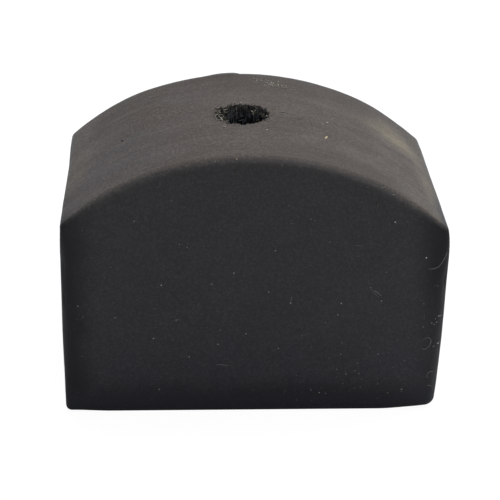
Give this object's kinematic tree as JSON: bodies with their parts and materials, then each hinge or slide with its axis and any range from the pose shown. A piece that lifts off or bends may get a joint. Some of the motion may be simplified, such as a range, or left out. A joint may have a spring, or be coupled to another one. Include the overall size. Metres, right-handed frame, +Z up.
{
  "type": "rubber bump stop block",
  "caption": "Solid rubber stop block with upright walls, an arched crown and a screw bore down to a moulded-in steel seat.",
  "frame": {"origin": "centre of the base", "axes": "+X across the width, along which the crown arches; +Y front to back, straight along the crown; +Z up from the base"},
  "size_m": [0.07, 0.044, 0.052],
  "materials": {
    "rubber": "matt, dusty on the crown",
    "washer_steel": "zinc plated",
    "sleeve_steel": "zinc plated, drawn tube"
  },
  "bodies": {
    "root": {"rubber_block": "rubber", "seat_washer": "washer_steel", "distance_sleeve": "sleeve_steel"}
  },
  "joints": []
}
